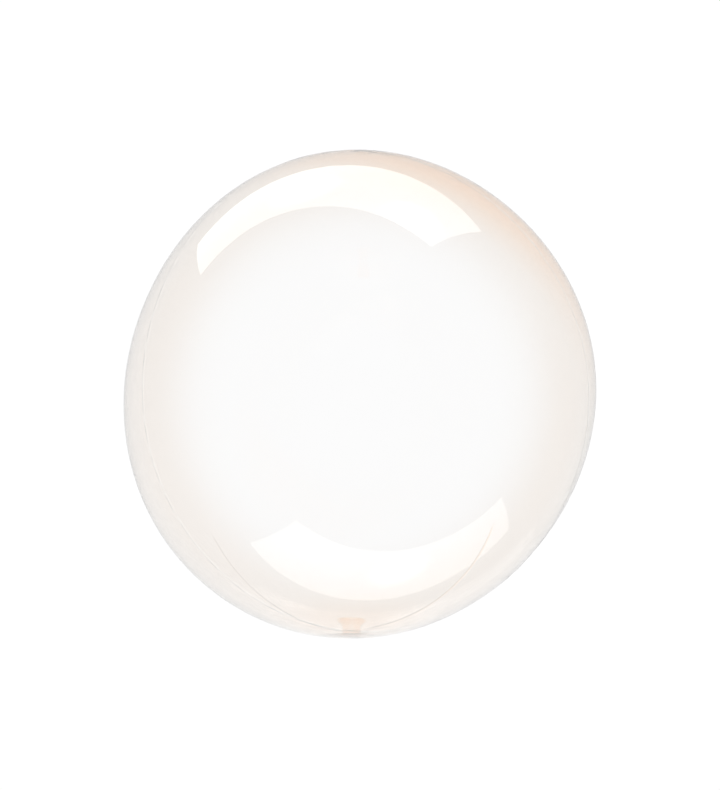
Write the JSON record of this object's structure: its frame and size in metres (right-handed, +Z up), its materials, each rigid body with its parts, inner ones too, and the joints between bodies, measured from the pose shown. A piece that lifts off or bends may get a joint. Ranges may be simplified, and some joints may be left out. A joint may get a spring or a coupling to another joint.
{
  "type": "clear bubble balloon",
  "caption": "Clear stretch-film globe balloon with a thin welded seam round it and a short tinted filling tail folded under it; it rests on a small flat spot.",
  "frame": {"origin": "centre of the flat spot that the globe rests on, on the resting plane", "axes": "+Z up through the globe, along its longest side; -Y towards the front panel, +X to its right"},
  "size_m": [0.4516, 0.4578, 0.4657],
  "materials": {
    "clear_film": "stretched clear film, glossy on both faces, with a pale peach tint that deepens towards the weld",
    "tinted_film": "unstretched film in several layers, glossy, see-through peach"
  },
  "bodies": {
    "root": {"film_envelope": "clear_film", "filling_tail": "tinted_film"}
  },
  "joints": []
}
